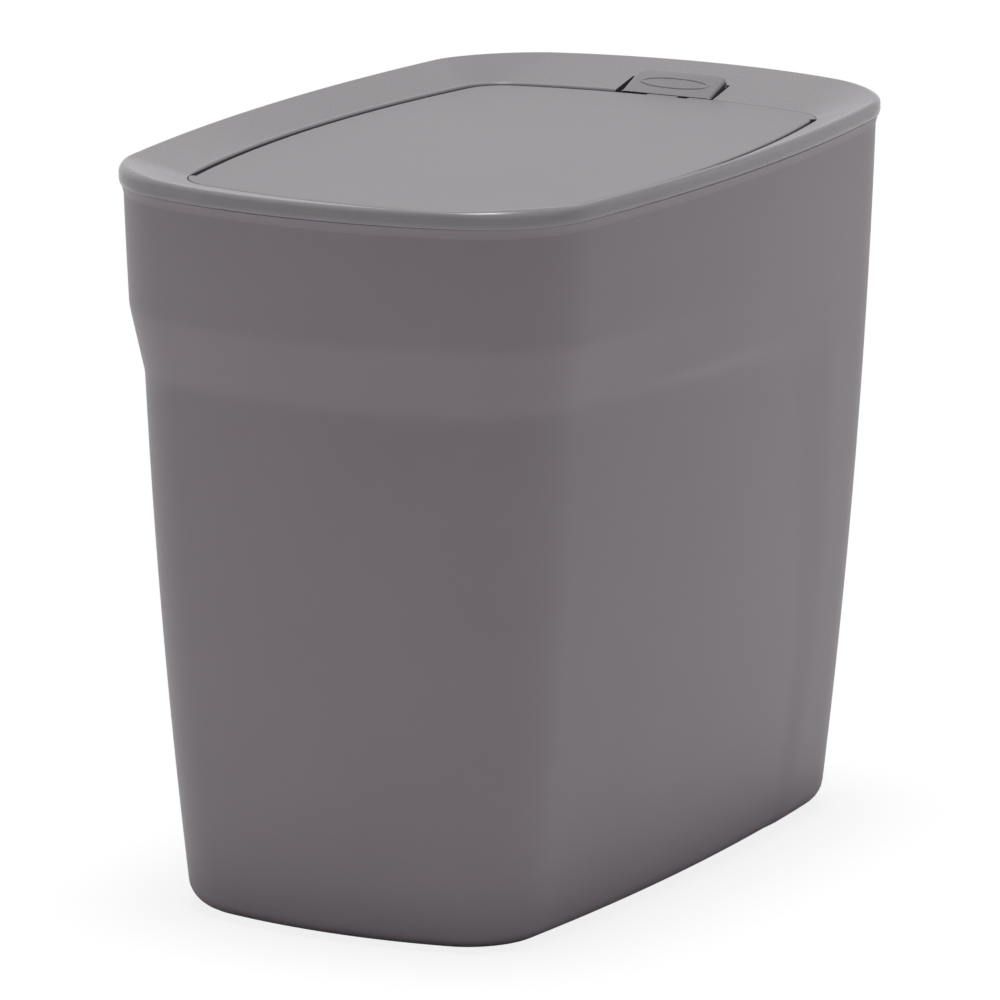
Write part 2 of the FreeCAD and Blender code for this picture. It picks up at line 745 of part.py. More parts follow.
def make_flap_spring(side):
    """Torsion spring on a hinge pin: one leg on the stop ledge, the other under the flap."""
    half_wire = torsion_wire / 2
    half_wall = half_wire + torsion_sleeve_margin
    inner_x = spring_inner_x - half_wall
    outer_x = spring_outer_x + half_wall
    bore_x = (side * (inner_x - overrun), side * (outer_x + overrun))
    sleeve = rod(torsion_radius + half_wall, side * inner_x, side * outer_x, hinge_y, hinge_z)
    sleeve = sleeve.cut(rod(torsion_radius - half_wall, *bore_x, hinge_y, hinge_z))
    frame_end = Vector(side * spring_outer_x, hinge_y, hinge_z - torsion_radius)
    flap_end = Vector(side * spring_inner_x, hinge_y, hinge_z + torsion_radius)
    frame_leg = Part.makeCylinder(half_wire, torsion_frame_leg, frame_end, Y_AXIS * -1)
    flap_leg = Part.makeCylinder(half_wire, torsion_flap_leg, flap_end, Y_AXIS * -1)
    return sleeve.fuse([frame_leg, flap_leg])


def make_latch_spring():
    """Compression spring between the bolt's pocket and the housing's rear wall."""
    half_wire = latch_spring_wire / 2
    foot = Vector(0, latch_spring_rear_y, bolt_middle_z)
    sleeve = Part.makeCylinder(latch_spring_radius + half_wire, latch_spring_length, foot, Y_AXIS)
    bore_foot = foot - Y_AXIS * overrun
    bore_length = latch_spring_length + 2 * overrun
    return sleeve.cut(Part.makeCylinder(latch_spring_radius - half_wire, bore_length, bore_foot, Y_AXIS))


pieces = {
    "tub": make_tub(),
    "lid_frame": make_lid_frame(),
    "flap": make_flap(),
    "push_button": make_push_button(),
    "button_pivot_pin": make_button_pin(),
    "hinge_pin_left": make_hinge_pin(1),
    "hinge_pin_right": make_hinge_pin(-1),
    "flap_spring_left": make_flap_spring(1),
    "flap_spring_right": make_flap_spring(-1),
    "latch_slider": make_latch_slider(),
    "latch_spring": make_latch_spring(),
    "latch_housing": make_latch_housing(),
    "latch_screws": make_latch_screws(),
}

for name, made in pieces.items():
    shape = made.removeSplitter()
    shape.exportStep("parts/" + name + ".step")
    print(name, "solids", len(shape.Solids), "volume", round(shape.Volume), "valid", shape.isValid())
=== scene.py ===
import math

import bmesh
import bpy
from mathutils import Matrix, Vector


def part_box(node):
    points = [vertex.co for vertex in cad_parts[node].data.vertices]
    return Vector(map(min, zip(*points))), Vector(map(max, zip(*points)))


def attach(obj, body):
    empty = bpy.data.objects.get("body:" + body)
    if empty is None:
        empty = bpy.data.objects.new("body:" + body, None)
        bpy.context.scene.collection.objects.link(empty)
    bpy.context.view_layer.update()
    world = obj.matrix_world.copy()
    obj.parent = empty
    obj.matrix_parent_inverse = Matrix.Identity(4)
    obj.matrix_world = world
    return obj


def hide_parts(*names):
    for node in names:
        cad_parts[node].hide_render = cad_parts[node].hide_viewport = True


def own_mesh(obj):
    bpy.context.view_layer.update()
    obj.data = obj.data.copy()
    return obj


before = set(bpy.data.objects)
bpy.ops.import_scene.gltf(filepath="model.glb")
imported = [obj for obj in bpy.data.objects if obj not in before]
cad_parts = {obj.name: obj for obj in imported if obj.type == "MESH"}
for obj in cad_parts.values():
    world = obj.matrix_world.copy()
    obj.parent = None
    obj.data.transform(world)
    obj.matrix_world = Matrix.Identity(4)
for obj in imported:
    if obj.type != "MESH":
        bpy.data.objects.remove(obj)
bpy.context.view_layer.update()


# Tub
# One thin polypropylene injection moulding that tapers to a round-edged base, with a lip round its mouth.
# Below a sloping shoulder its hinge end and both long sides are stepped in, as a hold for the hands.

MM = 0.001
HALF_SIDE_COLUMNS = 30
CORNER_COLUMNS = 14
HALF_END_COLUMNS = 14
RING_COLUMNS = 4 * (HALF_SIDE_COLUMNS + CORNER_COLUMNS + HALF_END_COLUMNS)


def bowed_outline(width, depth, end_bow, side_bow, corner_radius, centre_y=0.0):
    """Points and outward normals, in millimetres, round a rounded rectangle with bowed sides and ends."""
    corner_x = width / 2 - side_bow
    corner_y = depth / 2 - end_bow
    end_radius = (corner_x ** 2 + end_bow ** 2) / (2 * end_bow)
    side_radius = (corner_y ** 2 + side_bow ** 2) / (2 * side_bow)
    end_centre = Vector((0, depth / 2 - end_radius))
    side_centre = Vector((width / 2 - side_radius, 0))
    between = side_centre - end_centre
    to_end = end_radius - corner_radius
    to_side = side_radius - corner_radius
    along = (to_end ** 2 - to_side ** 2 + between.length_squared) / (2 * between.length)
    step = between.normalized()
    foot = end_centre + step * along
    lean = Vector((-step.y, step.x)) * math.sqrt(to_end ** 2 - along ** 2)
    corner_centre = max((foot + lean, foot - lean), key=lambda point: point.x + point.y)
    to_side_joint = corner_centre - side_centre
    to_end_joint = corner_centre - end_centre
    side_angle = math.atan2(to_side_joint.y, to_side_joint.x)
    end_angle = math.atan2(to_end_joint.y, to_end_joint.x)
    arcs = [(side_centre, side_radius, 0.0, side_angle, HALF_SIDE_COLUMNS)]
    arcs += [(corner_centre, corner_radius, side_angle, end_angle, CORNER_COLUMNS)]
    arcs += [(end_centre, end_radius, end_angle, math.pi / 2, HALF_END_COLUMNS)]
    quarter = []
    for centre, radius, first, last, columns in arcs:
        for column in range(columns):
            angle = first + (last - first) * column / columns
            normal = Vector((math.cos(angle), math.sin(angle)))
            quarter.append((centre + normal * radius, normal))
    quarter.append((Vector((0, depth / 2)), Vector((0, 1))))
    ring = []
    mirrored = quarter[::-1]
    for side, end, part in ((1, 1, quarter), (-1, 1, mirrored), (-1, -1, quarter), (1, -1, mirrored)):
        for point, normal in part[:-1]:
            place = Vector((side * point.x, end * point.y + centre_y))
            ring.append((place, Vector((side * normal.x, end * normal.y))))
    return ring + ring[:1]


def wrapped_grid(columns, rows, place):
    """A grid bent round into a skin: place gives a corner's point, in millimetres, from column and row."""
    mesh = bmesh.new()
    bmesh.ops.create_grid(mesh, x_segments=columns, y_segments=rows, size=0.5)
    for corner in mesh.verts:
        column = round((corner.co.x + 0.5) * columns)
        row = round((corner.co.y + 0.5) * rows)
        corner.co = place(column, row) * MM
    bmesh.ops.remove_doubles(mesh, verts=mesh.verts, dist=0.002 * MM)
    return mesh


def make_piece(name, mesh, material, body, crease_degrees=35):
    """Turns a bmesh into a smooth-shaded piece with sharp creases, and sets it on a body."""
    bmesh.ops.recalc_face_normals(mesh, faces=mesh.faces)
    data = bpy.data.meshes.new(name)
    mesh.to_mesh(data)
    mesh.free()
    data.shade_smooth()
    data.set_sharp_from_angle(angle=math.radians(crease_degrees))
    data.materials.append(material)
    piece = bpy.data.objects.new(name, data)
    bpy.context.scene.collection.objects.link(piece)
    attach(piece, body)
    return piece


def linear(hex_colour):
    """An sRGB hex colour as linear red, green, blue and alpha."""
    parts = [int(hex_colour[place:place + 2], 16) / 255 for place in (1, 3, 5)]
    return [part / 12.92 if part <= 0.04045 else ((part + 0.055) / 1.055) ** 2.4 for part in parts] + [1.0]


def add_node(tree, kind, inputs, **settings):
    """Adds a node with its settings; each input is a value or another node's output."""
    node = tree.nodes.new(kind)
    for name, value in settings.items():
        setattr(node, name, value)
    for name, value in inputs.items():
        if isinstance(value, bpy.types.NodeSocket):
            tree.links.new(value, node.inputs[name])
        else:
            node.inputs[name].default_value = value
    return node


def moulded_plastic(name, dark, light, roughness, gloss):
    """Satin moulded plastic: a faint cloudiness from the melt's flow and the mould's fine spark grain.
    The real grain is about 0.2 mm, too fine to show, so it is drawn at about 0.9 mm."""
    material = bpy.data.materials.new(name)
    material.use_nodes = True
    tree = material.node_tree
    shader = tree.nodes["Principled BSDF"]
    where = add_node(tree, "ShaderNodeTexCoord", {}).outputs["Object"]
    cloud_size, grain_size = 45 * MM, 0.9 * MM
    cloud = add_node(tree, "ShaderNodeTexNoise", {"Vector": where, "Scale": 1 / cloud_size, "Detail": 3.0})
    grain = add_node(tree, "ShaderNodeTexNoise", {"Vector": where, "Scale": 1 / grain_size, "Detail": 2.0})
    mix = add_node(tree, "ShaderNodeMix", {"Factor": cloud.outputs["Fac"]}, data_type="RGBA")
    mix.inputs["A"].default_value = linear(dark)
    mix.inputs["B"].default_value = linear(light)
    tree.links.new(mix.outputs["Result"], shader.inputs["Base Color"])
    spread = add_node(tree, "ShaderNodeMapRange", {"Value": grain.outputs["Fac"]})
    spread.inputs["To Min"].default_value = roughness - 0.02
    spread.inputs["To Max"].default_value = roughness + 0.02
    tree.links.new(spread.outputs["Result"], shader.inputs["Roughness"])
    bump_inputs = {"Height": grain.outputs["Fac"], "Strength": 0.025, "Distance": 0.1 * MM}
    bump = add_node(tree, "ShaderNodeBump", bump_inputs)
    tree.links.new(bump.outputs["Normal"], shader.inputs["Normal"])
    shader.inputs["IOR"].default_value = 1.49
    shader.inputs["Specular IOR Level"].default_value = gloss
    return material


# Width, depth, end bow, side bow, corner radius and middle of the wall at the mouth and at the base.
tub_top = (203.9, 319.3, 20.8, 11.9, 46.4, 0.0)
tub_base = (157.2, 286.4, 12.1, 7.2, 34.0, -2.6)
tub_belly = 0.59
tub_wall = 2.2
lip_bottom, lip_top, lip_reach = 268.0, 271.15, 0.87
base_round = 9.3
shoulder_top, shoulder_bottom = 226.0, 201.0
panel_depth_top, panel_depth_base, panel_front_share = 4.2, 1.3, 0.5
panel_corner_y, panel_corner_length, panel_corner_height = 10.0, 90.0, 35.0
panel_edge_bow, panel_step_run = 10.0, 30.0
panel_inner_y, panel_inner_corner_height, panel_end_y = 40.0, 22.0, 95.0


def tub_outline(z):
    """The plain tapered wall's outline at one height; the taper grows towards the base."""
    fall = (lip_bottom - z) / lip_bottom
    share = (1 - tub_belly) * fall + tub_belly * fall ** 2
    return bowed_outline(*[top + (base - top) * share for top, base in zip(tub_top, tub_base)])


def shoulder_depth(z):
    """How deep the panel lies at one height, away from its upright edges."""
    if z > shoulder_bottom:
        return panel_depth_top * max(shoulder_top - z, 0) / (shoulder_top - shoulder_bottom)
    return panel_depth_base + (panel_depth_top - panel_depth_base) * z / shoulder_bottom


def panel_outer_y(z):
    """Where the panel's step begins at one height, on its way from the button end."""
    corner_z = shoulder_top - panel_corner_height
    if z > corner_z:
        rise = min((z - corner_z) / panel_corner_height, 1)
        return panel_corner_y - panel_corner_length * math.sqrt(1 - rise ** 2)
    share = z / corner_z
    return panel_corner_y - panel_corner_length - panel_edge_bow * 4 * share * (1 - share)


def panel_inner_edge_y(z):
    """Where the panel's step reaches its depth at one height."""
    corner_z = shoulder_bottom - panel_inner_corner_height
    lower_z = min(z, corner_z)
    lower_y = panel_outer_y(lower_z) + panel_step_run * shoulder_depth(lower_z) / panel_depth_top
    rise = min(max(z - corner_z, 0) / panel_inner_corner_height, 1)
    return panel_inner_y - (panel_inner_y - lower_y) * math.sqrt(1 - rise ** 2)


def panel_depth(y, z):
    """The step's depth at one place, averaged over 3 mm of height so that its edges are soft."""
    total = 0.0
    spread = (-1.6, -0.8, 0.0, 0.8, 1.6)
    for shift in spread:
        level = min(z + shift, shoulder_top)
        outer, inner = panel_outer_y(level), panel_inner_edge_y(level)
        ramp = min(max((y - outer) / (inner - outer), 0), 1)
        along = min(max((y - inner) / (panel_end_y - inner), 0), 1)
        share = panel_front_share + (1 - panel_front_share) * along
        total += shoulder_depth(z + shift) * share * ramp
    return total / len(spread)


tub_rows = []
for step in range(9):
    turn = math.radians(90 * step / 8)
    tub_rows.append((base_round * (1 - math.cos(turn)), base_round * (math.sin(turn) - 1)))
# Rows up the wall, as a start, a step and a count: close together over the shoulder, wider elsewhere.
for start, height, rows in ((10.0, 8.9, 18), (170.0, 1.5, 41), (231.5, 7.2, 5)):
    tub_rows += [(start + height * step, 0.0) for step in range(1, rows + 1)]
lip_start, lip_end, lip_curve = lip_bottom - 0.6, lip_top - 0.2, 1.3
lip_edge_drop, lip_edge_inset = 0.04, 0.05
for step in range(9):
    rise = step / 8
    tub_rows.append((lip_start + (lip_end - lip_start) * rise, lip_reach * rise ** lip_curve))
tub_rows += [(lip_top - lip_edge_drop, lip_reach), (lip_top, lip_reach - lip_edge_inset)]
tub_rings = [tub_outline(z) for z, offset in tub_rows]


def tub_place(column, row):
    z, offset = tub_rows[row]
    point, normal = tub_rings[row][column]
    place = point + normal * (offset - panel_depth(point.y, z))
    return Vector((place.x, place.y, z))


tub_plastic = moulded_plastic("tub_polypropylene", "#81797f", "#857d82", 0.46, 0.3)
tub_mesh = wrapped_grid(RING_COLUMNS, len(tub_rows) - 1, tub_place)
base_rim = [edge for edge in tub_mesh.edges if edge.is_boundary and edge.verts[0].co.z < 0.5 * MM]
bmesh.ops.edgeloop_fill(tub_mesh, edges=base_rim)
tub_piece = make_piece("tub_moulding", tub_mesh, tub_plastic, "tub", 60)
tub_thickness = tub_piece.modifiers.new("wall", "SOLIDIFY")
tub_thickness.thickness = tub_wall * MM
tub_thickness.offset = -1.0
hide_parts("tub")


# Lid frame
# A dished ring moulded in the same polypropylene: a rolled outer edge, a crest, a slope down to the flap's
# opening and a well with a stop ledge. A flange underneath drops inside the tub's mouth, and bosses under
# the ring take the hinge pins, the button's pin and the latch's screws.

# Width, depth, end bow, side bow and corner radius of the lid and of the flap's opening.
lid_sizes = (206.6, 322.0, 20.8, 11.9, 46.4)
opening_sizes = (170.6, 251.0, 10.5, 12.0, 20.0)
lid_bottom, lid_shoulder, crest = 271.2, 276.2, 278.0
lid_tuck, tuck_height, lower_round, lid_wall = 0.5, 2.2, 0.3, 2.2
edge_break, edge_break_rise = 0.06, 0.04
crest_inset, corner_inset, corner_rise, corner_start = 1.6, 3.6, 3.2, 0.45
near_drop, near_start, near_fade = 0.7, 0.2, 0.6
opening_z, opening_round, well_wall = 271.0, 1.2, 2.0
level_round, level_drop, level_corner_y, hinge_step_y, level_fade = 0.2, 0.55, -106.6, 103.0, 8.0
ledge_top, ledge_bottom, ledge_width, hinge_relief, hinge_room = 262.5, 260.3, 3.5, 0.7, 4.0
button_opening, button_well, slot_rear = 21.1, 19.45, -139.1
well_rear, well_front, well_corner = -142.5, -130.0, 4.2
level_start_x = 2.0 - button_opening
pocket_y, pocket_reach, pocket_depth, pocket_skin = -143.0, 4.5, 14.0, 0.7
cut_front, cut_bottom, cut_top = -121.0, 259.0, 279.0
hinge_y, hinge_z = [sum(ends) / 2 / MM for ends in list(zip(*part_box("hinge_pin_left")))[1:]]
button_pin_y, button_pin_z = [sum(ends) / 2 / MM for ends in list(zip(*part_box("button_pivot_pin")))[1:]]
lid_ring = bowed_outline(*lid_sizes)
opening_ring = bowed_outline(*opening_sizes)


def level_share(point):
    """How far the ring's inner edge is let down: 1 at the hinge end and at the corner beside the button."""
    beyond = level_corner_y - point.y if point.x < level_start_x else -level_fade
    return min(max(1 + max(beyond, point.y - hinge_step_y) / level_fade, 0), 1)


def lid_profile(level, corner, crest_z, at_hinge):
    """The ring's section, from its lower edge over the crest and down the well: share of the way inwards,
    offset from the lid's outline, offset from the opening, and height."""
    edge_round = opening_round + (level_round - opening_round) * level
    edge_z = opening_z - level_drop * level
    ledge = -hinge_relief if at_hinge else ledge_width
    rows = [(0, -lid_wall, 0, lid_bottom + lower_round), (0, -lid_wall + lower_round, 0, lid_bottom)]
    rows += [(0, -lid_tuck - edge_break, 0, lid_bottom), (0, -lid_tuck, 0, lid_bottom + edge_break_rise)]
    for share in (0.15, 0.35, 0.6, 0.8, 1.0):
        rows.append((0, -lid_tuck * (1 - share) ** 2, 0, lid_bottom + tuck_height * share))
    inset = crest_inset + (corner_inset - crest_inset) * corner
    rise = crest - lid_shoulder + (corner_rise - crest + lid_shoulder) * corner
    for step in range(9):
        turn = math.radians(90 * step / 8)
        rows.append((0, -inset * (1 - math.cos(turn)), 0, crest_z - rise * (1 - math.sin(turn))))
    for share in (0.02, 0.06, 0.15, 0.3, 0.45, 0.6, 0.75, 0.88, 0.96):
        rows.append((share, -inset, edge_round, crest_z + (edge_z - crest_z) * share))
    for step in range(7):
        turn = math.radians(90 * step / 6)
        rows.append((1, 0, edge_round * (1 - math.sin(turn)), edge_z - edge_round * (1 - math.cos(turn))))
    rows += [(1, 0, 0, ledge_top), (1, 0, -ledge, ledge_top), (1, 0, -ledge, ledge_bottom)]
    rows += [(1, 0, well_wall, ledge_bottom), (1, 0, well_wall, opening_z - lid_wall)]
    for share in (0.75, 0.5, 0.25, 0):
        rows.append((share, -lid_wall, well_wall, crest - lid_wall + (opening_z - crest) * share))
    return rows + rows[:1]


lid_profiles = []
for (point, normal), (edge_point, edge_normal) in zip(opening_ring, lid_ring):
    corner = max(abs(2 * edge_normal.x * edge_normal.y) - corner_start, 0) / (1 - corner_start)
    near = min(max((edge_normal.y - edge_normal.x - near_start) / near_fade, 0), 1) * (1 - corner)
    at_hinge = point.y > hinge_y - hinge_room
    lid_profiles.append(lid_profile(level_share(point), corner, crest - near_drop * near, at_hinge))


def lid_place(column, row):
    share, lid_offset, opening_offset, z = lid_profiles[column][row]
    lid_point, lid_normal = lid_ring[column]
    opening_point, opening_normal = opening_ring[column]
    outer = lid_point + lid_normal * lid_offset
    inner = opening_point + opening_normal * opening_offset
    place = outer + (inner - outer) * share
    return Vector((place.x, place.y, z))


ring_run = (lid_sizes[1] - opening_sizes[1]) / 2 - crest_inset - opening_round
ring_slope = (crest - opening_z) / ring_run


def ring_z(y):
    """Height of the ring's slope on the middle line of the button end."""
    return opening_z + ring_slope * (-y - opening_sizes[1] / 2 - opening_round)


def block(low, high):
    """A sharp-edged block between two corners, in millimetres."""
    mesh = bmesh.new()
    bmesh.ops.create_cube(mesh, size=1.0)
    size = Vector(high) - Vector(low)
    middle = (Vector(high) + Vector(low)) / 2
    bmesh.ops.scale(mesh, vec=size * MM, verts=mesh.verts)
    bmesh.ops.translate(mesh, vec=middle * MM, verts=mesh.verts)
    return mesh


def round_rear_corners(mesh, rear, radius):
    """Rounds a block's two upright edges on the side that faces away from the flap."""
    uprights = []
    for edge in mesh.edges:
        at_rear = all(corner.co.y < (rear + 1.0) * MM for corner in edge.verts)
        if at_rear and abs(edge.verts[0].co.z - edge.verts[1].co.z) > 1.0 * MM:
            uprights.append(edge)
    bmesh.ops.bevel(mesh, geom=uprights, offset=radius * MM, affect="EDGES", segments=6, profile=0.5,
                    material=-1)


def lay_on_ring(mesh, y):
    """Tilts a mesh to the ring's slope and sets it there at the button end."""
    bmesh.ops.rotate(mesh, verts=mesh.verts, matrix=Matrix.Rotation(-math.atan(ring_slope), 3, "X"))
    bmesh.ops.translate(mesh, vec=Vector((0, y, ring_z(y))) * MM, verts=mesh.verts)


def cut_away(piece, mesh, crease_degrees=35):
    """Cuts the shape of a bmesh out of a piece."""
    data = bpy.data.meshes.new("cutter")
    mesh.to_mesh(data)
    mesh.free()
    cutter = bpy.data.objects.new("cutter", data)
    bpy.context.scene.collection.objects.link(cutter)
    saw = piece.modifiers.new("saw", "BOOLEAN")
    saw.operation = "DIFFERENCE"
    saw.solver = "EXACT"
    saw.use_hole_tolerant = True
    saw.object = cutter
    bpy.context.view_layer.update()
    cut = bpy.data.meshes.new_from_object(piece.evaluated_get(bpy.context.evaluated_depsgraph_get()))
    piece.modifiers.remove(saw)
    piece.data = cut
    piece.data.set_sharp_from_angle(angle=math.radians(crease_degrees))
    bpy.data.objects.remove(cutter)


lid_plastic = moulded_plastic("lid_polypropylene", "#837f83", "#878386", 0.28, 0.3)
lid_mesh = wrapped_grid(RING_COLUMNS, len(lid_profiles[0]) - 1, lid_place)
lid_piece = make_piece("lid_ring", lid_mesh, lid_plastic, "lid")
cut_away(lid_piece, block((-button_opening, slot_rear, cut_bottom), (button_opening, cut_front, cut_top)))
well = block((-button_well, well_rear, cut_bottom), (button_well, well_front, cut_top))
round_rear_corners(well, well_rear, well_corner)
cut_away(lid_piece, well)
pocket = block((-button_well, -pocket_reach, -pocket_depth), (button_well, pocket_reach, -pocket_skin))
lay_on_ring(pocket, pocket_y)
cut_away(lid_piece, pocket)
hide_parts("lid_frame")

# The flange's section as heights and offsets from the tub's outer wall.
flange_rows = [(259.3, -4.7), (259.3, -3.2), (259.7, -2.75), (260.5, -2.7), (274.0, -2.7), (274.0, -4.7)]
flange_rows += flange_rows[:1]
flange_rings = [tub_outline(z) for z, offset in flange_rows]


def flange_place(column, row):
    z, offset = flange_rows[row]
    point, normal = flange_rings[row][column]
    place = point + normal * offset
    return Vector((place.x, place.y, z))


flange_mesh = wrapped_grid(RING_COLUMNS, len(flange_rows) - 1, flange_place)
flange_piece = make_piece("lid_flange", flange_mesh, lid_plastic, "lid")


def rounded_block(low, high, round_edge):
    """A block between two corners, in millimetres, with its edges rounded."""
    mesh = block(low, high)
    bmesh.ops.bevel(mesh, geom=mesh.edges[:], offset=round_edge * MM, affect="EDGES", segments=3,
                    profile=0.5, material=-1)
    return mesh


def round_bar(radius, start, end, round_edge):
    """A bar between two points, in millimetres, with its end edges rounded."""
    span = Vector(end) - Vector(start)
    mesh = bmesh.new()
    bmesh.ops.create_cone(mesh, cap_ends=True, segments=40, radius1=radius * MM, radius2=radius * MM,
                          depth=span.length * MM)
    rims = [edge for edge in mesh.edges if abs(edge.verts[0].co.z - edge.verts[1].co.z) < 0.01 * MM]
    bmesh.ops.bevel(mesh, geom=rims, offset=round_edge * MM, affect="EDGES", segments=2, profile=0.5,
                    material=-1)
    bmesh.ops.rotate(mesh, verts=mesh.verts, matrix=span.to_track_quat("Z", "Y").to_matrix())
    bmesh.ops.translate(mesh, vec=(Vector(start) + Vector(end)) / 2 * MM, verts=mesh.verts)
    return mesh


screw_low, screw_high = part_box("latch_screws")
screw_y = (screw_low.y + screw_high.y) / 2 / MM
housing_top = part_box("latch_housing")[1].z / MM
screw_x, small_round = 25.0, 0.3
hinge_boss_span, hinge_boss_radius = (76.4, 84.4), 3.2
pivot_boss_span, pivot_boss_radius = (button_well, button_opening + 5.0), 2.5
screw_boss_span, screw_boss_radius = (housing_top, ring_z(screw_y) - lid_wall / 2), 3.4
for name, side in (("left", 1), ("right", -1)):
    hinge_ends = [(side * x, hinge_y, hinge_z) for x in hinge_boss_span]
    pivot_ends = [(side * x, button_pin_y, button_pin_z) for x in pivot_boss_span]
    screw_ends = [(side * screw_x, screw_y, z) for z in screw_boss_span]
    bosses = [("hinge", hinge_boss_radius, hinge_ends), ("pivot", pivot_boss_radius, pivot_ends)]
    bosses += [("screw", screw_boss_radius, screw_ends)]
    for boss, radius, ends in bosses:
        boss_mesh = round_bar(radius, *ends, small_round)
        boss_piece = make_piece("lid_" + boss + "_boss_" + name, boss_mesh, lid_plastic, "lid")


# Flap
# A flat plate with a softened edge and a stiffening lip, moulded in the same plastic. Two lugs carry it on
# the hinge pins, a keeper at the button end has the window that the bolt catches, and two small tabs
# bridge the gap to the button.

flap_top, flap_under, flap_lip, flap_lip_wall = 270.4, 268.2, 262.8, 1.8
wide_gap, hinge_side_gap, hinge_end_gap, corner_gap = 2.2, 0.15, 0.6, 0.25
flap_round_share, rim_step, rim_width = 0.36, 4.5, 12.0
notch_inner, notch_outer, notch_front, notch_rear, notch_bottom = 66.9, 100.0, 11.0, 5.5, 262.0
lug_inner, lug_outer, lug_radius, rib_root = 63.88, 66.88, 2.8, 0.6


def flap_gap(point, normal):
    """The gap beside the flap: narrow at the hinge end and at the level corner beside the button."""
    if point.y > hinge_step_y:
        return hinge_side_gap + (hinge_end_gap - hinge_side_gap) * normal.y
    beside_button = point.x < level_start_x and point.y < level_corner_y
    return corner_gap if beside_button else wide_gap


flap_edge = []
for (point, normal), (next_point, next_normal) in zip(opening_ring, opening_ring[1:]):
    gap = flap_gap(point, normal)
    flap_edge.append((point, normal, gap))
    if abs(flap_gap(next_point, next_normal) - gap) > 1.0:
        flap_edge.append((next_point, next_normal, gap))
flap_edge.append(flap_edge[0])


def flap_profile(gap):
    """The edge's section from under the plate to its top: offset from the opening, and height."""
    edge_round = gap * flap_round_share
    rows = [(-rim_width, flap_under), (-gap - flap_lip_wall, flap_under), (-gap - flap_lip_wall, flap_lip)]
    rows += [(-gap - small_round, flap_lip), (-gap, flap_lip + small_round)]
    for step in range(7):
        turn = math.radians(90 * step / 6)
        inset = gap + edge_round * (1 - math.cos(turn))
        rows.append((-inset, flap_top - edge_round * (1 - math.sin(turn))))
    return rows + [(-rim_step, flap_top), (-rim_width, flap_top)]


flap_profiles = [flap_profile(gap) for point, normal, gap in flap_edge]


def flap_place(column, row):
    point, normal, gap = flap_edge[column]
    offset, z = flap_profiles[column][row]
    place = point + normal * offset
    return Vector((place.x, place.y, z))


# Painted shade: the flap is moulded in the lid's plastic, but its colour is set a shade darker than the
# lid's, so that its flat, upward-facing top renders no lighter than the sloping ring.
flap_painted_shade_plastic = moulded_plastic("flap_polypropylene_painted_shade", "#7c787c", "#807c7f", 0.4, 0.2)
flap_mesh = wrapped_grid(len(flap_edge) - 1, len(flap_profiles[0]) - 1, flap_place)
for level in (flap_under, flap_top):
    rim = [edge for edge in flap_mesh.edges
           if edge.is_boundary and abs(edge.verts[0].co.z - level * MM) < 0.1 * MM]
    bmesh.ops.edgeloop_fill(flap_mesh, edges=rim)
flap_piece = make_piece("flap_plate", flap_mesh, flap_painted_shade_plastic, "flap")
for side in (-1, 1):
    low_x, high_x = sorted((side * notch_inner, side * notch_outer))
    notch_low = (low_x, hinge_y - notch_front, notch_bottom)
    cut_away(flap_piece, block(notch_low, (high_x, hinge_y + notch_rear, flap_under)))
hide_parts("flap")

for name, side in (("left", 1), ("right", -1)):
    lug_x = sorted((side * lug_inner, side * lug_outer))
    lug_high = (lug_x[1], hinge_y + lug_radius, flap_under + rib_root)
    lug = rounded_block((lug_x[0], hinge_y - lug_radius, hinge_z), lug_high, small_round)
    web = make_piece("flap_lug_web_" + name, lug, flap_painted_shade_plastic, "flap")
    eye_ends = [(x, hinge_y, hinge_z) for x in lug_x]
    eye_mesh = round_bar(lug_radius, *eye_ends, small_round)
    eye = make_piece("flap_lug_eye_" + name, eye_mesh, flap_painted_shade_plastic, "flap")

keeper_reach, keeper_front, keeper_back, keeper_bottom = 11.0, -123.3, -120.9, 253.8
keeper_round = 0.4
keeper = rounded_block((-keeper_reach, keeper_front, keeper_bottom),
                       (keeper_reach, keeper_back, flap_under + rib_root), keeper_round)
keeper_piece = make_piece("flap_keeper", keeper, flap_painted_shade_plastic, "flap")
window_reach, window_bottom, window_top, window_past = 5.5, 256.0, 260.2, 1.8
cut_away(keeper_piece, block((-window_reach, keeper_front - window_past, window_bottom),
                             (window_reach, keeper_back + window_past, window_top)))
tab_front, tab_back, tab_round, tab_drop = -125.2, -122.5, 0.15, 0.05
for name, tab_x in (("middle", (-6.0, 7.0)), ("right", (-19.0, -10.5))):
    tab_low = (tab_x[0], tab_front, flap_under)
    front_tab = rounded_block(tab_low, (tab_x[1], tab_back, flap_top - tab_drop), tab_round)
    tab_piece = make_piece("flap_front_tab_" + name, front_tab, flap_painted_shade_plastic, "flap")


# Push button
# A wedge of the same plastic at the front of a tongue that rocks on a steel pin under the ring. It rises
# from the flap's level to stand proud of the ring, and a raised oval line shows where to press.

button_width, button_corner, button_round = 38.3, 4.0, 1.3
button_front, button_rear, button_under = -opening_sizes[1] / 2, -142.0, 269.0
button_front_z, button_rear_z = 270.55, 277.2
button_slope = (button_rear_z - button_front_z) / (button_front - button_rear)
button_tilt = Matrix.Rotation(-math.atan(button_slope), 3, "X")
button_side = button_width / 2
wedge = block((-button_side, button_rear, button_under), (button_side, button_front, button_rear_z))
for corner in wedge.verts:
    if corner.co.z > button_front_z * MM:
        corner.co.z -= button_slope * (corner.co.y - button_rear * MM)
round_rear_corners(wedge, button_rear, button_corner)
wedge.normal_update()
top_face = max(wedge.faces, key=lambda face: face.normal.z)
top_edges = [edge for edge in top_face.edges
             if any(corner.co.y < (button_front - 1.0) * MM for corner in edge.verts)]
bmesh.ops.bevel(wedge, geom=top_edges, offset=button_round * MM, affect="EDGES", segments=4, profile=0.5,
                material=-1)
wedge_piece = make_piece("button_wedge", wedge, lid_plastic, "button")
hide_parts("push_button")

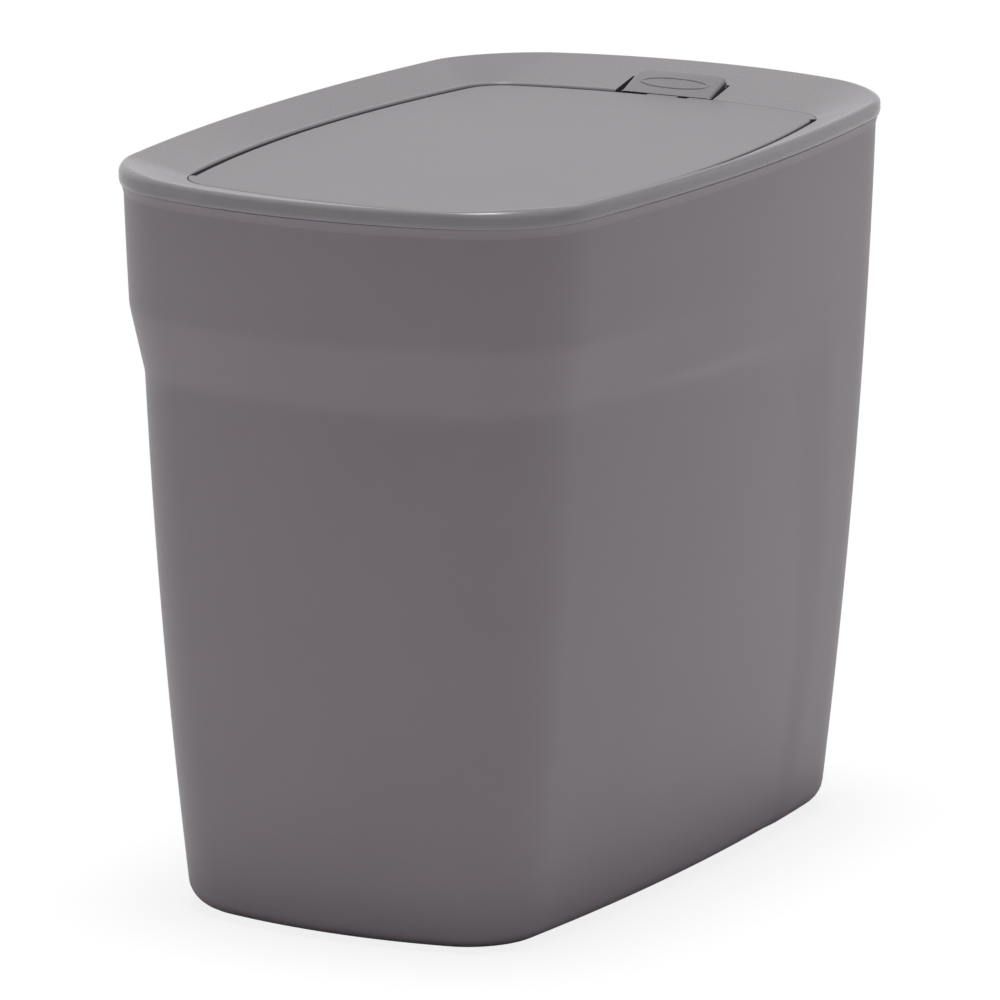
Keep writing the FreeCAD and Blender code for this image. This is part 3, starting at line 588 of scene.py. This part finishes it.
oval_columns, oval_rows = 72, 8
oval_length, oval_width, oval_line, oval_rise, oval_sink = 14.3, 3.4, 0.6, 0.4, 0.05
oval_y = -133.4
oval_middle = Vector((0, oval_y, button_front_z + button_slope * (button_front - oval_y)))


def oval_place(column, row):
    around = 2 * math.pi * column / oval_columns
    across = math.pi * row / oval_rows
    middle = Vector((oval_length * math.cos(around), oval_width * math.sin(around), -oval_sink))
    outward = Vector((math.cos(around) / oval_length, math.sin(around) / oval_width, 0)).normalized()
    point = middle + outward * oval_line * math.cos(across) + Vector((0, 0, oval_rise * math.sin(across)))
    return button_tilt @ point + oval_middle


oval_mesh = wrapped_grid(oval_columns, oval_rows, oval_place)
oval_piece = make_piece("button_oval", oval_mesh, lid_plastic, "button")

button_lip_wall, button_lip_bottom, button_lip_top = 1.8, 266.4, opening_z - 0.4
button_lip = rounded_block((-button_side, button_front - button_lip_wall, button_lip_bottom),
                           (button_side, button_front, button_lip_top), small_round)
lip_piece = make_piece("button_lip", button_lip, lid_plastic, "button")
barrel_radius = 2.0
barrel_ends = [(side * button_side, button_pin_y, button_pin_z) for side in (-1, 1)]
barrel = round_bar(barrel_radius, *barrel_ends, small_round)
barrel_piece = make_piece("button_barrel", barrel, lid_plastic, "button")

tongue_overlap = 3.0
tongue_rear, tongue_front = button_pin_y, button_rear + tongue_overlap
tongue_y = (tongue_rear + tongue_front) / 2
tongue_bottom, tongue_top = -2.5, -1.0
tongue = rounded_block((-button_side, tongue_rear - tongue_y, tongue_bottom),
                       (button_side, tongue_front - tongue_y, tongue_top), small_round)
lay_on_ring(tongue, tongue_y)
tongue_piece = make_piece("button_tongue", tongue, lid_plastic, "button")

peg_foot_z, peg_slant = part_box("push_button")[0].z / MM, 3.0
peg_reach, peg_rear, peg_front, peg_top = 4.0, -134.5, -132.5, opening_z - 1.0
peg = rounded_block((-peg_reach, peg_rear, peg_foot_z), (peg_reach, peg_front, peg_top), small_round)
for corner in peg.verts:
    if corner.co.y < (peg_rear + 1.0) * MM and corner.co.z < (peg_foot_z + 1.0) * MM:
        corner.co.z += peg_slant * MM
peg_piece = make_piece("button_peg", peg, lid_plastic, "button")


# Springs
# Torsion springs of bright drawn wire sit on the hinge pins and throw the flap up; a small compression
# spring pushes the bolt towards the flap's keeper.

def drawn_steel(name, colour, roughness):
    """Bright drawn or plated steel: a metal whose gloss varies a little over about 0.3 mm."""
    material = bpy.data.materials.new(name)
    material.use_nodes = True
    tree = material.node_tree
    shader = tree.nodes["Principled BSDF"]
    where = add_node(tree, "ShaderNodeTexCoord", {}).outputs["Object"]
    patch_size = 0.3 * MM
    patches = add_node(tree, "ShaderNodeTexNoise", {"Vector": where, "Scale": 1 / patch_size, "Detail": 2.0})
    spread = add_node(tree, "ShaderNodeMapRange", {"Value": patches.outputs["Fac"]})
    spread.inputs["To Min"].default_value = roughness - 0.06
    spread.inputs["To Max"].default_value = roughness + 0.06
    tree.links.new(spread.outputs["Result"], shader.inputs["Roughness"])
    shader.inputs["Base Color"].default_value = linear(colour)
    shader.inputs["Metallic"].default_value = 1.0
    return material


spring_steel = drawn_steel("spring_steel", "#b4b4b6", 0.3)


def wound_wire(start, axis, centre, wire_radius, turns, travel, legs):
    """A helical tube: a wire's end circle spun about an axis, with straight legs drawn from its ends."""
    mesh = bmesh.new()
    bmesh.ops.create_circle(mesh, segments=10, radius=wire_radius * MM)
    radial = Vector(start) - Vector(centre)
    heading = Vector(axis).cross(radial).normalized()
    turn = Vector((0, 0, 1)).rotation_difference(heading).to_matrix()
    bmesh.ops.rotate(mesh, verts=mesh.verts, matrix=turn)
    bmesh.ops.translate(mesh, vec=Vector(start) * MM, verts=mesh.verts)
    steps = int(turns * 24)
    first_ring = mesh.edges[:]
    spun = bmesh.ops.spin(mesh, geom=mesh.verts[:] + mesh.edges[:], cent=Vector(centre) * MM, axis=axis,
                          dvec=Vector(travel) * MM / steps, angle=2 * math.pi * turns, steps=steps)
    last_ring = [part for part in spun["geom_last"] if isinstance(part, bmesh.types.BMEdge)]
    for ring, leg in zip((first_ring, last_ring), legs):
        if leg:
            drawn = bmesh.ops.extrude_edge_only(mesh, edges=ring)
            moved = [part for part in drawn["geom"] if isinstance(part, bmesh.types.BMVert)]
            bmesh.ops.translate(mesh, vec=Vector(leg) * MM, verts=moved)
    bmesh.ops.holes_fill(mesh, edges=[edge for edge in mesh.edges if edge.is_boundary], sides=0)
    return mesh


flap_wire, flap_turns, flap_coil_radius, flap_coil_end = 0.35, 6.5, 2.25, 0.45
flap_legs = ((0, -9.0, 0), (0, -16.0, 0))
for name, side in (("left", 1), ("right", -1)):
    low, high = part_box("flap_spring_" + name)
    outer_x = (high.x if side > 0 else low.x) / MM - side * flap_coil_end
    inner_x = (low.x if side > 0 else high.x) / MM + side * flap_coil_end
    start = (outer_x, hinge_y, hinge_z - flap_coil_radius)
    coil = wound_wire(start, (1, 0, 0), (outer_x, hinge_y, hinge_z), flap_wire, flap_turns,
                      (inner_x - outer_x, 0, 0), flap_legs)
    spring = make_piece("flap_spring_coil_" + name, coil, spring_steel, "lid", 60)
    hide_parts("flap_spring_" + name)

low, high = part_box("latch_spring")
latch_axis_z = (low.z + high.z) / 2 / MM
latch_wire, latch_turns, latch_coil_radius = 0.3, 6.0, 1.7
latch_start = (latch_coil_radius, high.y / MM - latch_wire, latch_axis_z)
latch_run = (low.y - high.y) / MM + 2 * latch_wire
latch_coil = wound_wire(latch_start, (0, 1, 0), (0, latch_start[1], latch_axis_z), latch_wire, latch_turns,
                        (0, latch_run, 0), (None, None))
latch_spring = make_piece("latch_spring_coil", latch_coil, spring_steel, "lid", 60)
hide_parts("latch_spring")
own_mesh(latch_spring)


# Hinge pins, pivot pin and screws
# Short lengths of zinc-plated steel rod, held in bosses under the ring, carry the flap and the button.
# Two small screws of the same steel hold the latch's housing up to the ring.

plated_steel = drawn_steel("zinc_plated_steel", "#b9bcc0", 0.34)
for name in ("hinge_pin_left", "hinge_pin_right", "button_pivot_pin", "latch_screws"):
    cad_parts[name].data.materials.clear()
    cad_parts[name].data.materials.append(plated_steel)


# Latch
# The bolt and its housing are small slippery mouldings in natural acetal, hidden under the ring.
# The housing is a channel that the two screws hold, and the bolt slides in it against its spring.

natural_acetal = moulded_plastic("natural_acetal", "#d2d1ca", "#dad9d3", 0.4, 0.4)
for name in ("latch_slider", "latch_housing"):
    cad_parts[name].data.materials.clear()
    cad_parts[name].data.materials.append(natural_acetal)


# Studio
# A pale floor that runs on behind the bin, a white surround, an overhead light and a soft box on each
# side, so that the top is brightest and the two faces towards the camera lie in softer light.

world = bpy.data.worlds.new("studio")
bpy.context.scene.world = world
world.use_nodes = True
sky = world.node_tree
background = sky.nodes["Background"]
rays = add_node(sky, "ShaderNodeLightPath", {})
seen = add_node(sky, "ShaderNodeMath", {0: rays.outputs["Is Camera Ray"], 1: rays.outputs["Is Glossy Ray"]},
                operation="MAXIMUM")
seen = add_node(sky, "ShaderNodeMath", {0: seen.outputs[0], 1: rays.outputs["Is Transmission Ray"]},
                operation="MAXIMUM")
strength = add_node(sky, "ShaderNodeMapRange", {"Value": seen.outputs[0]})
strength.inputs["To Min"].default_value = 0.05
strength.inputs["To Max"].default_value = 1.0
sky.links.new(strength.outputs["Result"], background.inputs["Strength"])
background.inputs["Color"].default_value = (1, 1, 1, 1)

floor_mesh = bmesh.new()
bmesh.ops.create_grid(floor_mesh, x_segments=1, y_segments=1, size=6.0)
floor_gap = 0.3 * MM
bmesh.ops.translate(floor_mesh, vec=(0, 0, -floor_gap), verts=floor_mesh.verts)
floor_data = bpy.data.meshes.new("studio_floor")
floor_mesh.to_mesh(floor_data)
floor_mesh.free()
floor = bpy.data.objects.new("studio_floor", floor_data)
bpy.context.scene.collection.objects.link(floor)
# Matt white paint: to the camera it is mostly an even white, and it still takes the bin's soft shadow.
floor_paint = bpy.data.materials.new("pale_floor")
floor_paint.use_nodes = True
tree = floor_paint.node_tree
paint = tree.nodes["Principled BSDF"]
paint.inputs["Base Color"].default_value = linear("#ffffff")
paint.inputs["Roughness"].default_value = 0.9
glow = add_node(tree, "ShaderNodeEmission", {"Strength": 1.0})
rays = add_node(tree, "ShaderNodeLightPath", {})
white_share = 0.85
seen = add_node(tree, "ShaderNodeMath", {0: rays.outputs["Is Camera Ray"], 1: white_share},
                operation="MULTIPLY")
shaders = {0: seen.outputs[0], 1: paint.outputs["BSDF"], 2: glow.outputs["Emission"]}
blend = add_node(tree, "ShaderNodeMixShader", shaders)
tree.links.new(blend.outputs["Shader"], tree.nodes["Material Output"].inputs["Surface"])
floor_data.materials.append(floor_paint)


lamp_aim = Vector((0, 0, 0.15))


def soft_lamp(name, kind, place, size, power):
    """A lamp aimed at the bin: a square soft box, size in metres, or a sun, size as an angle in radians."""
    lamp = bpy.data.lights.new(name, kind)
    lamp.energy = power
    if kind == "AREA":
        lamp.size = size
    else:
        lamp.angle = size
    light = bpy.data.objects.new(name, lamp)
    light.location = place
    light.rotation_euler = (lamp_aim - Vector(place)).to_track_quat("-Z", "Y").to_euler()
    bpy.context.scene.collection.objects.link(light)


soft_lamp("overhead", "SUN", (0.0, 0.0, 2.15), math.radians(18), 3.1)
soft_lamp("right_side", "AREA", (-1.3, -1.5, 0.08), 1.0, 3.4)
soft_lamp("left_side", "AREA", (1.6, 0.9, 0.08), 1.0, 2.2)

camera_data = bpy.data.cameras.new("photo_camera")
camera_data.sensor_width = 36.0
camera_data.lens = 319.1
camera_data.shift_x = -0.0074
camera_data.shift_y = -0.0229
camera = bpy.data.objects.new("photo_camera", camera_data)
azimuth, elevation, distance = math.radians(208.78), math.radians(12.715), 3.319
level = math.cos(elevation)
back = Vector((math.sin(azimuth) * level, -math.cos(azimuth) * level, math.sin(elevation)))
aim = Vector((0, 0, 0.145))
camera.location = aim + back * distance
camera.rotation_euler = (-back).to_track_quat("-Z", "Y").to_euler()
camera_data.clip_end = 50
bpy.context.scene.collection.objects.link(camera)
bpy.context.scene.camera = camera
bpy.context.scene.view_settings.view_transform = "Standard"
